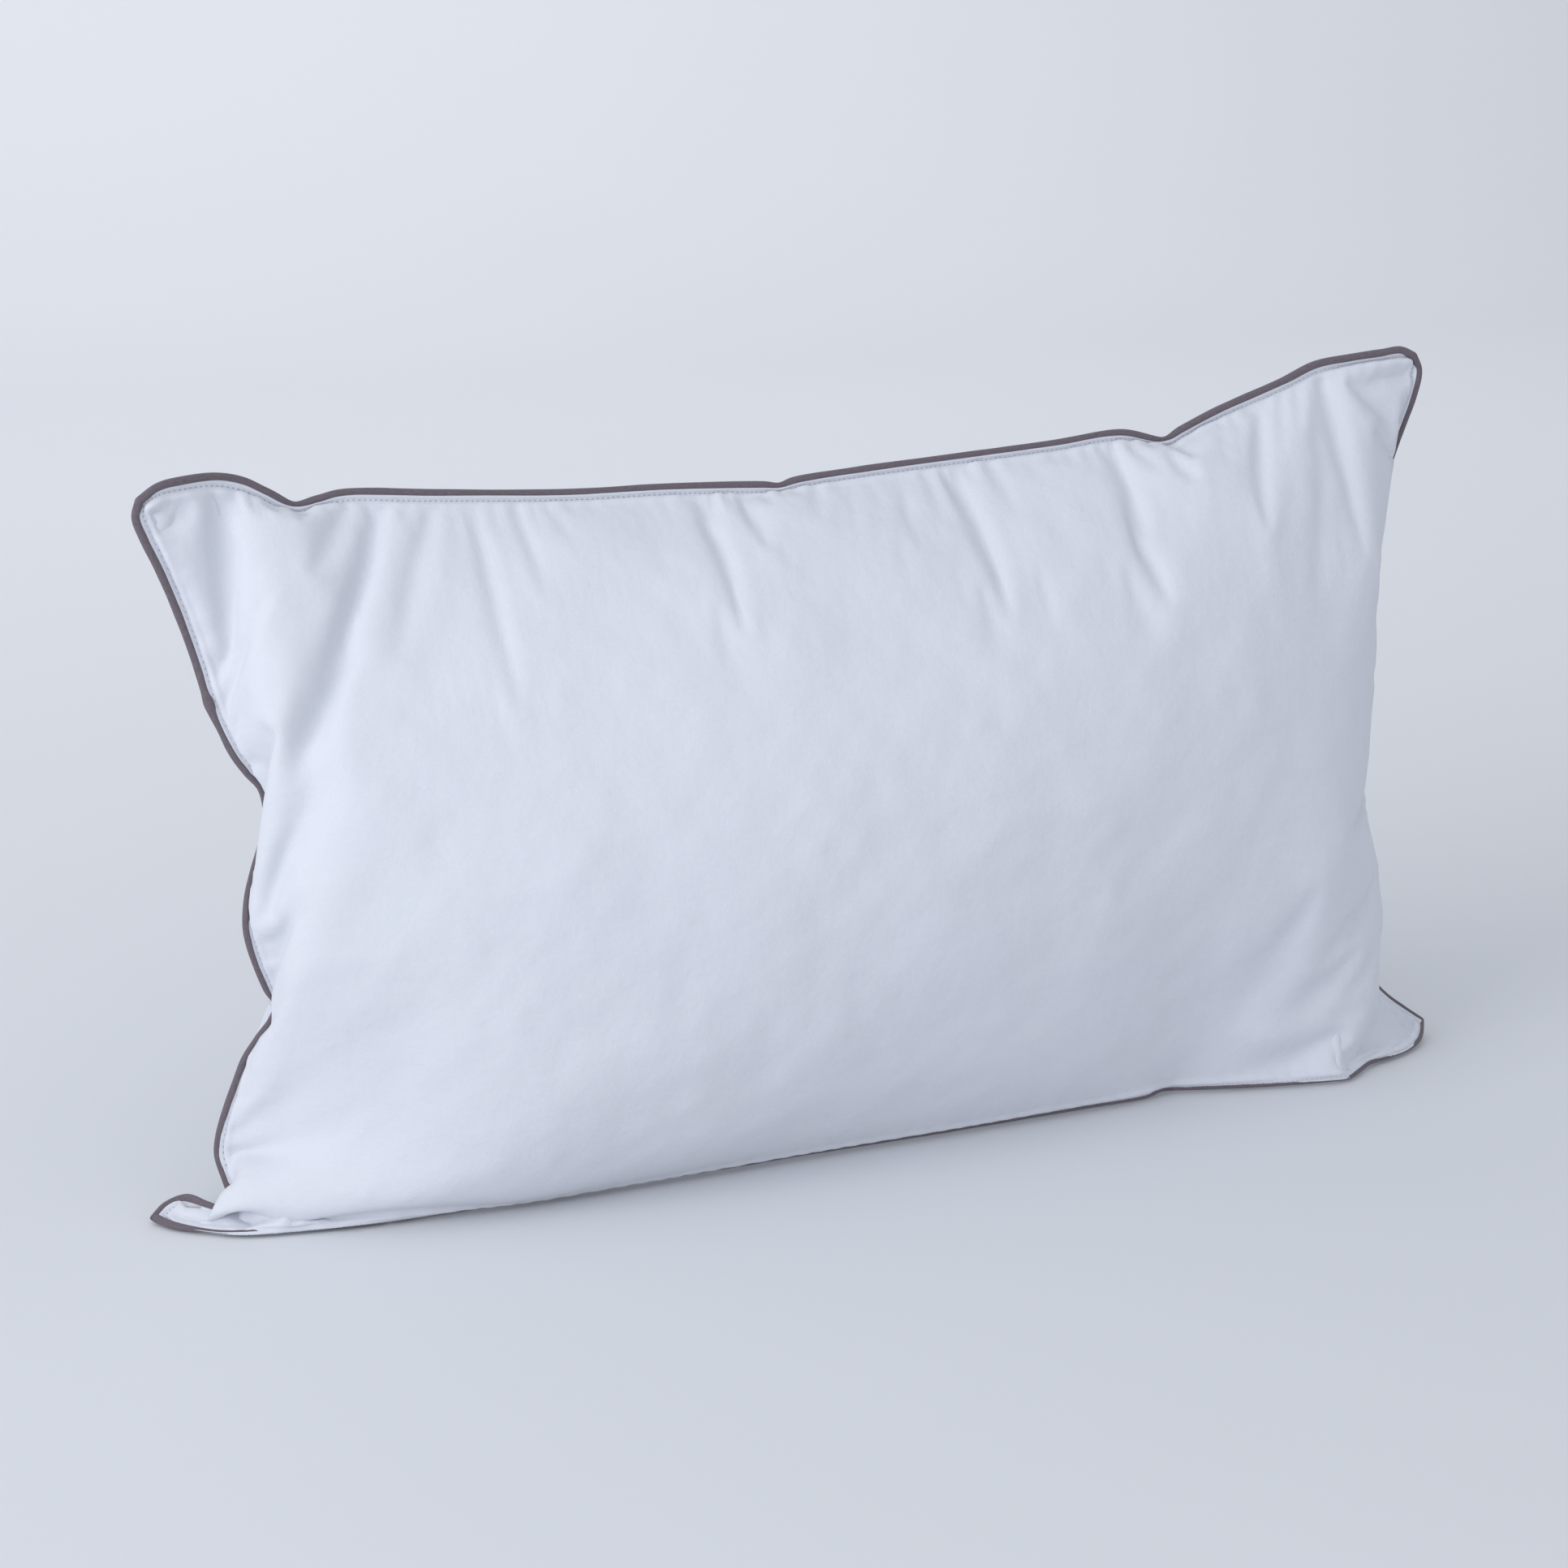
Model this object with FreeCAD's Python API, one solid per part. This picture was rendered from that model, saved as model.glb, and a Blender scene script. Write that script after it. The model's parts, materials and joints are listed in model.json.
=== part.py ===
"""Bed pillow, cut 900 x 500 mm, standing on one long edge.

Two cotton panels are sewn together round a piped seam and hold a down fill.
+Z is up, +X runs along the pillow's length and the front panel faces -Y.
The origin is on the floor, under the middle of the pillow. Lengths are in mm.
"""
import FreeCAD, Part
import math
import os

V = FreeCAD.Vector

# Piping: a cotton cord in a fabric cover, which follows the seam line
PIPING_RADIUS = 2.5
CORD_RADIUS = 1.7
PIPING_JOINT_GAP = 0.3

# Panels: the wall is a stand-in for downproof cotton about 0.3 mm thick
PANEL_WALL = 1.2
PANEL_GAP = 1.4
PANEL_INSET = 3.0
FILL_INSET = 10.0
FILL_CLEARANCE = 0.4

# Threads that lie in the seam, inside the piping
THREAD_RADIUS = 0.3
SEAM_THREAD_INSET = 5.5
CLOSING_THREAD_INSET = 9.5
CLOSING_SPAN = (0.22, 0.72)

# Care label, a blank ribbon hung from the top seam on the back
LABEL_SPAN = (0.80, 0.83)
LABEL_TOP = 0.965
LABEL_BOTTOM = 0.86
LABEL_THICKNESS = 0.5
LABEL_CLEARANCE = 0.6

# The seam line, each edge listed between its two ear tips. The ears stand out
# at the corners, and the short edges are drawn in where the fill pulls them.
EAR_RADIUS = 13.0
BEND_SHARE = 0.45
EAR_BOTTOM_LEFT = (-434, 19, 2.5)
EAR_BOTTOM_RIGHT = (434, 31, 2.5)
EAR_TOP_RIGHT = (413, 52, 476)
EAR_TOP_LEFT = (-412, 42, 440)
BOTTOM_EDGE = [
    (-382, -29, 2.5), (-310, -40, 2.5), (-190, -37, 2.5), (-65, -31, 2.5),
    (65, -24, 2.5), (180, -18, 2.5), (290, -25, 2.5), (348, -30, 2.5), (400, 9, 2.5),
]
RIGHT_EDGE = [
    (424, 42, 34), (392, 40, 62), (374, 34, 110), (378, 32, 170), (368, 34, 230),
    (374, 38, 290), (388, 44, 355), (397, 49, 415),
]
TOP_EDGE = [
    (356, 49, 470), (309, 48, 457), (263, 46, 441), (224, 45, 427), (150, 45, 427),
    (60, 45, 420), (-36, 45, 413), (-161, 45, 416), (-295, 44, 422), (-325, 43, 420),
    (-364, 42, 436),
]
LEFT_EDGE = [
    (-402, 40, 393), (-385, 36, 335), (-372, 32, 292), (-351, 27, 250), (-361, 27, 205),
    (-365, 26, 170), (-352, 22, 126), (-376, 25, 86), (-390, 28, 50), (-424, 25, 24),
]

# How far the middle section stands off the straight line between the two long
# seams, as (y, z), in even steps from the bottom seam to the top seam. The back
# panel drops below the floor, where it is cut off flat to make the base.
FRONT_SWELL = [
    (0, 0), (-36, 12), (-66, 22), (-84, 25), (-94, 17), (-88, 5), (-67, -4), (-36, -6), (0, 0),
]
BACK_SWELL = [
    (0, 0), (34, -34), (72, -77), (92, -80), (88, -73), (73, -65), (51, -54), (23, -30), (0, 0),
]
END_FULLNESS = 0.3
CROWN_HEIGHT = 100.0

# Control nets
LENGTH_STEPS = 40
HEIGHT_STEPS = 24
EDGE_SAMPLES = 600
DEGREE = 3
BASE_TRIM = 0.4


def vectors(points):
    return [V(*point) for point in points]


def corner_arc(before, corner, after, radius=None):
    """Start, middle and end of the arc that rounds a corner of the seam line."""
    to_before = before - corner
    to_after = after - corner
    shorter = min(to_before.Length, to_after.Length)
    to_before.normalize()
    to_after.normalize()
    turn = math.pi - to_before.getAngle(to_after)
    if radius is None:
        radius = BEND_SHARE * shorter / math.tan(turn / 2)
    setback = radius * math.tan(turn / 2)
    bisector = to_before + to_after
    bisector.normalize()
    middle = corner + bisector * (radius / math.cos(turn / 2) - radius)
    return corner + to_before * setback, middle, corner + to_after * setback


def half_arc(arc, first_half):
    """One half of an ear's arc, on either side of the ear's tip."""
    start, middle, end = arc
    curve = Part.Arc(start, middle, end)
    half_way = (curve.FirstParameter + curve.LastParameter) / 2
    if first_half:
        return curve.trim(curve.FirstParameter, half_way).toShape()
    return curve.trim(half_way, curve.LastParameter).toShape()


def seam_sides():
    """The four sides of the seam line: straight runs joined by tangent arcs."""
    ears = vectors([EAR_BOTTOM_LEFT, EAR_BOTTOM_RIGHT, EAR_TOP_RIGHT, EAR_TOP_LEFT])
    edges = [vectors(side) for side in (BOTTOM_EDGE, RIGHT_EDGE, TOP_EDGE, LEFT_EDGE)]
    sides = []
    for index in range(len(edges)):
        ear = ears[index]
        next_ear = ears[(index + 1) % len(ears)]
        points = edges[index]
        ear_arc = corner_arc(edges[index - 1][-1], ear, points[0], EAR_RADIUS)
        following = edges[(index + 1) % len(edges)][0]
        next_arc = corner_arc(points[-1], next_ear, following, EAR_RADIUS)
        route = [ear] + points + [next_ear]
        pieces = [half_arc(ear_arc, False)]
        last = ear_arc[2]
        for step in range(1, len(route) - 1):
            start, middle, end = corner_arc(*route[step - 1:step + 2])
            pieces.append(Part.LineSegment(last, start).toShape())
            pieces.append(Part.Arc(start, middle, end).toShape())
            last = end
        pieces.append(Part.LineSegment(last, next_arc[0]).toShape())
        pieces.append(half_arc(next_arc, True))
        sides.append(pieces)
    return sides


def along(samples, fraction):
    """The point at a fraction of the way along an evenly sampled line."""
    place = fraction * (len(samples) - 1)
    index = min(int(place), len(samples) - 2)
    return samples[index] + (samples[index + 1] - samples[index]) * (place - index)


class SeamSheet:
    """The sheet spanned by the seam line, which both panels swell out from."""

    def __init__(self, sides):
        lines = [Part.Wire(side).discretize(Number=EDGE_SAMPLES) for side in sides]
        self.bottom, self.right = lines[0], lines[1]
        self.top, self.left = lines[2][::-1], lines[3][::-1]
        self.length = Part.Wire(sides[0]).Length
        self.height = Part.Wire(sides[1]).Length

    def at(self, u, v):
        """The point at u along the length and v up the height, each 0 to 1."""
        across = along(self.bottom, u) * (1 - v) + along(self.top, u) * v
        upward = along(self.left, v) * (1 - u) + along(self.right, v) * u
        low = self.bottom[0] * (1 - u) + self.bottom[-1] * u
        high = self.top[0] * (1 - u) + self.top[-1] * u
        return across + upward - low * (1 - v) - high * v

    def inset(self, s, t, distance):
        """As at, with s and t closing up towards the edges, which are drawn in."""
        edge_u = distance / self.length
        edge_v = distance / self.height
        u = edge_u + (1 - 2 * edge_u) * (1 - math.cos(math.pi * s)) / 2
        v = edge_v + (1 - 2 * edge_v) * (1 - math.cos(math.pi * t)) / 2
        return self.at(u, v)


def swell_curve(offsets):
    """A smooth curve through a list of (y, z) offsets."""
    steps = len(offsets) - 1
    curve = Part.BSplineCurve()
    curve.interpolate(
        Points=[V(0, y, z) for y, z in offsets], Parameters=[i / steps for i in range(steps + 1)])
    return curve


def swell_at(curve, s, t):
    """The offset at s along the length and t up the height."""
    profile = curve.value(t)
    fullness = math.sin(math.pi * s) * (1 + END_FULLNESS * math.cos(math.pi * s) ** 2)
    return profile * fullness


def net(sheet, offsets, inset, thinned=0.0, shift_y=0.0):
    """Points on one face, swollen off the sheet between the seams."""
    curve = swell_curve(offsets)
    scale = 1 - thinned / CROWN_HEIGHT
    rows = []
    for i in range(LENGTH_STEPS + 1):
        s = i / LENGTH_STEPS
        row = []
        for j in range(HEIGHT_STEPS + 1):
            t = j / HEIGHT_STEPS
            point = sheet.inset(s, t, inset) + swell_at(curve, s, t) * scale
            row.append(point + V(0, shift_y, 0))
        rows.append(row)
    return rows


def sharpened(points):
    """Control points that draw an even cubic spline through the points."""
    poles = list(points)
    for i in range(1, len(points) - 1):
        poles[i] = points[i] + (points[i] * 2 - points[i - 1] - points[i + 1]) / 6
    return poles


def knots(count, degree):
    """Knots and multiplicities of an even, clamped spline with count poles."""
    spans = count - degree
    multiplicities = [degree + 1] + [1] * (spans - 1) + [degree + 1]
    return [i / spans for i in range(spans + 1)], multiplicities


def face(rows, floor=-BASE_TRIM):
    """A spline face through rows of points, except where a floor flattens it."""
    columns = [sharpened(column) for column in zip(*[sharpened(row) for row in rows])]
    rows = [[V(p.x, p.y, max(p.z, floor)) for p in row] for row in zip(*columns)]
    degree_u = min(DEGREE, len(rows) - 1)
    degree_v = min(DEGREE, len(rows[0]) - 1)
    knots_u, mults_u = knots(len(rows), degree_u)
    knots_v, mults_v = knots(len(rows[0]), degree_v)
    surface = Part.BSplineSurface()
    surface.buildFromPolesMultsKnots(
        rows, mults_u, mults_v, knots_u, knots_v, False, False, degree_u, degree_v)
    return surface.toShape()


def solid(faces):
    """A closed solid sewn from faces that share their edges."""
    shell = Part.Shell(Part.makeShell(faces).Faces)
    shell.sewShape()
    body = Part.makeSolid(shell)
    if body.Volume < 0:
        body.reverse()
    return body


def slab(near, far, far_floor=-BASE_TRIM):
    """The thin solid between two faces of the same layout."""
    faces = [face(near), face(far, far_floor)]
    for pick in (0, -1):
        faces.append(face([near[pick], far[pick]]))
        faces.append(face([[row[pick] for row in near], [row[pick] for row in far]]))
    return solid(faces)


def panel(sheet, offsets, side):
    """One cotton panel, as a thin swollen shell."""
    shift = side * PANEL_GAP / 2
    outside = net(sheet, offsets, PANEL_INSET, shift_y=shift)
    inside = net(sheet, offsets, PANEL_INSET + PANEL_WALL, PANEL_WALL, shift)
    return slab(outside, inside, PANEL_WALL)


def below_floor():
    """A block that fills the space under the floor."""
    reach = 1200.0
    depth = 100.0
    return Part.makeBox(reach, reach, depth, V(-reach / 2, -reach / 2, -depth))


def down_fill(sheet):
    """The fill, a soft mass that stays just clear of both panels."""
    inset = PANEL_INSET + FILL_INSET
    thinned = PANEL_WALL + FILL_CLEARANCE
    swells = (FRONT_SWELL, BACK_SWELL)
    return solid([face(net(sheet, swell, inset, thinned), thinned) for swell in swells])


def piping_route(sides):
    """The seam line as one open route that starts at the piping's joint."""
    left = sides[3]
    joint_index = 6
    joint_run = left[joint_index]
    start = joint_run.Vertexes[0].Point
    end = joint_run.Vertexes[-1].Point
    direction = (end - start).normalize()
    middle = (start + end) * 0.5
    first = Part.LineSegment(middle, end).toShape()
    last = Part.LineSegment(start, middle - direction * PIPING_JOINT_GAP).toShape()
    around = sides[0] + sides[1] + sides[2]
    edges = [first] + left[joint_index + 1:] + around + left[:joint_index] + [last]
    return Part.Wire(edges), direction


def rod(route, direction, radius):
    """A round rod swept along a route that starts in a direction."""
    start = route.Edges[0].Vertexes[0].Point
    outline = Part.Wire(Part.makeCircle(radius, start, direction))
    return route.makePipe(Part.Face(outline))


def bent_thread(points):
    """A thin round thread through points, rounded where it turns."""
    pieces = []
    last = points[0]
    for step in range(1, len(points) - 1):
        start, middle, end = corner_arc(*points[step - 1:step + 2])
        pieces.append(Part.LineSegment(last, start).toShape())
        pieces.append(Part.Arc(start, middle, end).toShape())
        last = end
    pieces.append(Part.LineSegment(last, points[-1]).toShape())
    direction = (points[1] - points[0]).normalize()
    return rod(Part.Wire(pieces), direction, THREAD_RADIUS)


def seam_thread(sheet):
    """The line of stitching that holds the two panels and the piping together."""
    steps = 40
    fractions = [i / steps for i in range(steps)]
    points = [sheet.inset(s, 0, SEAM_THREAD_INSET) for s in fractions]
    points += [sheet.inset(1, t, SEAM_THREAD_INSET) for t in fractions[::2]]
    points += [sheet.inset(1 - s, 1, SEAM_THREAD_INSET) for s in fractions]
    points += [sheet.inset(0, 1 - t, SEAM_THREAD_INSET) for t in fractions[::2]]
    return bent_thread(points)


def closing_thread(sheet):
    """The second row that closes the opening the fill went in by."""
    steps = 14
    low, high = CLOSING_SPAN
    heights = [low + (high - low) * i / steps for i in range(steps + 1)]
    return bent_thread([sheet.inset(1, t, CLOSING_THREAD_INSET) for t in heights])


def care_label(sheet):
    """A blank ribbon that lies on the back panel, under the top seam."""
    curve = swell_curve(BACK_SWELL)
    steps = 4

    def side(stand_off):
        rows = []
        for i in range(steps + 1):
            s = LABEL_SPAN[0] + (LABEL_SPAN[1] - LABEL_SPAN[0]) * i / steps
            row = []
            for j in range(steps + 1):
                t = LABEL_BOTTOM + (LABEL_TOP - LABEL_BOTTOM) * j / steps
                point = sheet.inset(s, t, PANEL_INSET) + swell_at(curve, s, t)
                row.append(point + V(0, PANEL_GAP / 2 + stand_off, 0))
            rows.append(row)
        return rows

    return slab(side(LABEL_CLEARANCE), side(LABEL_CLEARANCE + LABEL_THICKNESS))


def main():
    os.makedirs("parts", exist_ok=True)
    sides = seam_sides()
    sheet = SeamSheet(sides)
    route, direction = piping_route(sides)
    cord = rod(route, direction, CORD_RADIUS)
    parts = {
        "front_panel": panel(sheet, FRONT_SWELL, -1),
        "back_panel": panel(sheet, BACK_SWELL, 1).cut(below_floor()),
        "down_fill": down_fill(sheet),
        "piping_cover": rod(route, direction, PIPING_RADIUS).cut(cord),
        "piping_cord": cord,
        "seam_thread": seam_thread(sheet),
        "closing_thread": closing_thread(sheet),
        "care_label": care_label(sheet),
    }
    for name, shape in parts.items():
        shape.exportStep("parts/" + name + ".step")
        box = shape.BoundBox
        print(name, shape.isValid(), len(shape.Solids), round(shape.Volume), box)


main()
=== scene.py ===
import json
import math

import bpy
import numpy as np
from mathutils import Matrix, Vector

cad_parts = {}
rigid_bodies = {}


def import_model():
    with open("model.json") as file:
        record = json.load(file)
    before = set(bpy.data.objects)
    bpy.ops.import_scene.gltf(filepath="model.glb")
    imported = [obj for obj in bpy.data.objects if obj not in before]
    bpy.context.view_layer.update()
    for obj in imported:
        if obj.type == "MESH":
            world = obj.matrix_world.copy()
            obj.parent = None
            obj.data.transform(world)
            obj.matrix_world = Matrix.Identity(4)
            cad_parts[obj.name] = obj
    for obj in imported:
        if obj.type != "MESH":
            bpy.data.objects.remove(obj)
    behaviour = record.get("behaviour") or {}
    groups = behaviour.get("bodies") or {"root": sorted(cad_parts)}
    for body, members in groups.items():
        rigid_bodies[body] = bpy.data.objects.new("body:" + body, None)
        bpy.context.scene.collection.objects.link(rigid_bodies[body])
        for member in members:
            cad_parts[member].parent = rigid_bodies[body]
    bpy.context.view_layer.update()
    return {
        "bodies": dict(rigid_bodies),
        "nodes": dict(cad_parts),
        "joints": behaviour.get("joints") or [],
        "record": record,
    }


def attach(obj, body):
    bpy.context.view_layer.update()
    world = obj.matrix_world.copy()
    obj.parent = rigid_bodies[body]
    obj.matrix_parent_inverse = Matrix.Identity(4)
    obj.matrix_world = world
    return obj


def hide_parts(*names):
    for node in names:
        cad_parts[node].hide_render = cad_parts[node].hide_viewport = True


MM = 0.001

# The bed pillow, flat: two cotton panels cut to this size and sewn together all round.
FLAT_LENGTH = 0.92
FLAT_HEIGHT = 0.474
FRONT_FULLNESS = 0.055    # depth to which the front panel is shaped fuller than the back one
CORNER_ROUND = 0.022
FLANGE = 0.006            # from the middle of the piping to the stitch line
# Where the flange is tucked under: how the stitch line stands to the piping, in millimetres,
# and from where to where along the side, with the length over which the tuck fades, in metres.
FOOT_TUCK_LEFT = (0, -7, -3)
FOOT_TUCK_RIGHT = (0, -7, 0.5)
FOOT_TUCK_SPAN = (0.014, 0.915, 0.010)
RIGHT_TUCK = (0, -8, 0)
RIGHT_TUCK_SPAN = (0.080, 0.375, 0.03)
TUCK_REACH = 0.015
WAIST_LEFT = 0.08         # share of the length that the panels lose at half height, either side
WAIST_RIGHT = 0.045
TOP_DRAWN = 0.060         # share of the length that the top seam takes up
EASE_LEFT = 0.130         # spare height sewn into the left seam, as a share
EASE_RIGHT = 0.075
EASE_REACH = 0.12         # how far in from a side the spare height reaches

# The seam as the pillow stands, in millimetres, one list of points for each side.
# Every side runs left to right or bottom to top, and its first and last points are shared corners.
CORNER_BL = (-430, 16, 4)
CORNER_BR = (436, 40, 10)
CORNER_TR = (406, 53, 468)
CORNER_TL = (-411, 29, 429)
SEAM_BOTTOM = [
    CORNER_BL, (-421, 4, 3), (-406, -8, 3), (-388, -19, 3.5), (-352, -26, 4), (-311, -30, 4),
    (-272, -30, 4), (-192, -27, 4), (-108, -23, 4), (-23, -18, 4), (66, -14, 4), (158, -8, 4),
    (205, -5, 4), (221, 2, 4), (240, -2, 4), (265, -8, 4), (292, -14, 4), (330, -20, 4),
    (345, -21, 4), (356, -14, 4), (372, -3, 4.5), (392, 3, 4.5), (408, 10, 4), (424, 22, 6), CORNER_BR,
]
SEAM_RIGHT = [
    CORNER_BR, (429, 51, 15), (419, 60, 23), (406, 63, 38), (396, 64, 64), (391, 64, 110), (391, 64, 170),
    (380, 63, 225), (372, 62, 292), (384, 60, 355), (399, 56, 412), (408, 54, 441), (411, 54, 458),
    CORNER_TR,
]
SEAM_TOP = [
    CORNER_TL, (-400, 30, 436), (-386, 34, 438), (-366, 40, 438), (-351, 43, 434), (-338, 43, 427),
    (-323, 43, 419), (-309, 44, 421), (-295, 45, 423.5), (-239, 45, 420), (-161, 45, 415.5),
    (-101, 45, 415), (-41, 45, 412.5), (-30, 45, 411.5), (-20, 45, 414), (22, 45, 418),
    (86, 45, 422.5), (150, 45, 427), (195, 45, 431), (226, 46, 425), (238, 46, 430.5),
    (263, 47, 441), (310, 49, 457), (333, 50, 466), (357, 51, 469), (381, 52, 471), (396, 53, 472),
    CORNER_TR,
]
SEAM_LEFT = [
    CORNER_BL, (-422, 22, 8), (-411, 20, 12), (-400, 4, 13), (-391, -5, 12.5), (-386, 5, 15),
    (-387, 15, 22), (-390, 21, 36), (-389, 20, 48), (-384.5, 18, 64), (-378, 16, 82), (-372, 14, 97.5),
    (-364, 12, 110), (-356.5, 9, 121), (-354, 8, 132), (-358, 8, 142), (-362.5, 8, 155),
    (-366.5, 7, 170), (-368, 7, 182), (-366, 8, 199), (-362, 9, 213), (-357, 10, 227),
    (-353, 11, 241), (-352, 12, 250), (-354.5, 13, 262), (-361.5, 15, 271), (-368.5, 17, 282),
    (-374.5, 20, 296), (-379.5, 22, 310), (-386, 27, 338), (-394.5, 28, 367), (-403, 27, 391),
    (-410, 27, 408), (-413.5, 28, 420), CORNER_TL,
]


# Where the top seam gathers the cloth: place along the seam in metres, share, half width.
TOP_GATHERS = [
    (0.095, 1.5, 0.012), (0.195, 1.0, 0.010), (0.235, 1.0, 0.010), (0.355, 2.5, 0.012),
    (0.385, 1.5, 0.010), (0.500, 1.6, 0.012), (0.530, 1.2, 0.010), (0.620, 1.0, 0.012),
    (0.655, 2.0, 0.012), (0.760, 1.0, 0.015),
]
LEFT_GATHERS = [
    (0.045, 2.0, 0.012), (0.155, 1.5, 0.006), (0.200, 2.5, 0.006), (0.245, 1.5, 0.006),
    (0.275, 1.5, 0.006), (0.325, 2.0, 0.007), (0.360, 1.5, 0.007), (0.420, 0.5, 0.010),
]
RIGHT_GATHERS = [
    (0.050, 2.0, 0.012), (0.120, 1.0, 0.008), (0.210, 1.0, 0.008), (0.300, 2.5, 0.010),
    (0.380, 0.7, 0.010),
]


# ---------------------------------------------------------------- view

SENSOR_WIDTH = 36.0       # millimetres, as the lens is
LENS = 67.08
VIEW_AZIMUTH = -19.1      # degrees
VIEW_ELEVATION = 16.5
VIEW_DISTANCE = 1.911
VIEW_TARGET = (0.0035, 0.133, 0.196)


def camera():
    """The view: a little above the pillow and to its left, from two metres away."""
    data = bpy.data.cameras.new("view")
    data.sensor_width = SENSOR_WIDTH
    data.lens = LENS
    eye = bpy.data.objects.new("view", data)
    bpy.context.scene.collection.objects.link(eye)
    azimuth = math.radians(VIEW_AZIMUTH)
    elevation = math.radians(VIEW_ELEVATION)
    back = Vector((
        math.sin(azimuth) * math.cos(elevation),
        -math.cos(azimuth) * math.cos(elevation),
        math.sin(elevation),
    ))
    eye.location = Vector(VIEW_TARGET) + back * VIEW_DISTANCE
    eye.rotation_mode = "QUATERNION"
    eye.rotation_quaternion = back.to_track_quat("Z", "Y")
    bpy.context.scene.camera = eye
    return eye


# ---------------------------------------------------------------- seam

LINE_SAMPLES = 40         # samples between two listed points of the seam


def smooth_line(points):
    """A smooth line through listed points, as close-set samples."""
    p = np.array(points, float) * MM
    gaps = np.sqrt(np.linalg.norm(np.diff(p, axis=0), axis=1))
    t = np.concatenate([[0.0], np.cumsum(gaps)])
    slopes = np.gradient(p, t, axis=0)
    dense = []
    for i in range(len(p) - 1):
        h = t[i + 1] - t[i]
        s = np.linspace(0.0, 1.0, LINE_SAMPLES, endpoint=False)[:, None]
        a = 2 * s**3 - 3 * s**2 + 1
        b = s**3 - 2 * s**2 + s
        c = 3 * s**2 - 2 * s**3
        d = s**3 - s**2
        dense.append(a * p[i] + b * h * slopes[i] + c * p[i + 1] + d * h * slopes[i + 1])
    dense.append(p[-1:])
    return np.concatenate(dense)


def arc_lengths(line):
    """The length of a line up to each of its points."""
    return np.concatenate([[0.0], np.cumsum(np.linalg.norm(np.diff(line, axis=0), axis=1))])


def at_shares(line, shares):
    """Points of a line at shares of its length."""
    run = arc_lengths(line)
    return np.stack([np.interp(np.asarray(shares) * run[-1], run, line[:, k]) for k in range(3)], axis=-1)


# ---------------------------------------------------------------- flat cut and start shape

def flat_cut(nu, nv):
    """The flat panel as a grid in metres, its corners rounded off."""
    x = np.linspace(0.0, FLAT_LENGTH, nu + 1)[None, :] * np.ones((nv + 1, 1))
    y = np.linspace(0.0, FLAT_HEIGHT, nv + 1)[:, None] * np.ones((1, nu + 1))
    r = CORNER_ROUND
    ax = np.clip(np.maximum(r - x, x - (FLAT_LENGTH - r)) / r, 0.0, 1.0)
    ay = np.clip(np.maximum(r - y, y - (FLAT_HEIGHT - r)) / r, 0.0, 1.0)
    x_shift = r * ax * (1.0 - np.sqrt(1.0 - ay**2 / 2.0))
    y_shift = r * ay * (1.0 - np.sqrt(1.0 - ax**2 / 2.0))
    x = x + np.where(x < FLAT_LENGTH / 2, x_shift, -x_shift)
    y = y + np.where(y < FLAT_HEIGHT / 2, y_shift, -y_shift)
    rise = y / FLAT_HEIGHT
    waist = np.where(x < FLAT_LENGTH / 2, WAIST_LEFT, WAIST_RIGHT)
    narrowing = waist * np.sin(np.pi * rise) + TOP_DRAWN * rise
    ease = EASE_LEFT * np.exp(-(x / EASE_REACH) ** 2)
    ease = ease + EASE_RIGHT * np.exp(-((FLAT_LENGTH - x) / EASE_REACH) ** 2)
    x = FLAT_LENGTH / 2 + (x - FLAT_LENGTH / 2) * (1.0 - narrowing)
    y = FLAT_HEIGHT / 2 + (y - FLAT_HEIGHT / 2) * (1.0 + ease)
    return np.stack([x, y], axis=-1)


EVEN_SPARE = 0.25         # weight of the spare cloth taken up between the gathers


def side_points(points, edge, gathers=()):
    """A side of the seam at the flat edge's own points, with the spare cloth taken up at the gathers."""
    run = arc_lengths(edge)
    line = smooth_line(points)
    room = arc_lengths(line)[-1]
    spare = np.full(len(run) - 1, EVEN_SPARE)
    middle = (run[1:] + run[:-1]) / 2
    for place, weight, width in gathers:
        spare += weight * np.exp(-((middle - place) / width) ** 2)
    spare *= np.diff(run)
    taken = spare * (run[-1] - room) / spare.sum() if gathers else np.diff(run) * (1 - room / run[-1])
    placed = np.concatenate([[0.0], np.cumsum(np.diff(run) - taken)])
    return at_shares(line, placed / placed[-1])


def start_sheet(cut):
    """A smooth sheet spanned by the four sides of the seam."""
    bottom = side_points(SEAM_BOTTOM, cut[0])
    top = side_points(SEAM_TOP, cut[-1], TOP_GATHERS)
    left = side_points(SEAM_LEFT, cut[:, 0], LEFT_GATHERS)
    right = side_points(SEAM_RIGHT, cut[:, -1], RIGHT_GATHERS)
    nv, nu = cut.shape[0] - 1, cut.shape[1] - 1
    u = np.linspace(0.0, 1.0, nu + 1)[None, :, None]
    v = np.linspace(0.0, 1.0, nv + 1)[:, None, None]
    ruled_u = (1 - u) * left[:, None] + u * right[:, None]
    ruled_v = (1 - v) * bottom[None] + v * top[None]
    corners = (1 - u) * (1 - v) * bottom[0] + u * (1 - v) * bottom[-1]
    corners = corners + (1 - u) * v * top[0] + u * v * top[-1]
    return ruled_u + ruled_v - corners


def fullness(nu, nv):
    """How far each point of the start sheet is pushed out, from 0 at the seam to 1 in the middle."""
    u = np.linspace(0.0, 1.0, nu + 1)[None, :]
    v = np.linspace(0.0, 1.0, nv + 1)[:, None]
    return (np.sin(np.pi * u) ** 0.5) * (np.sin(np.pi * v) ** 0.7)


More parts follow.
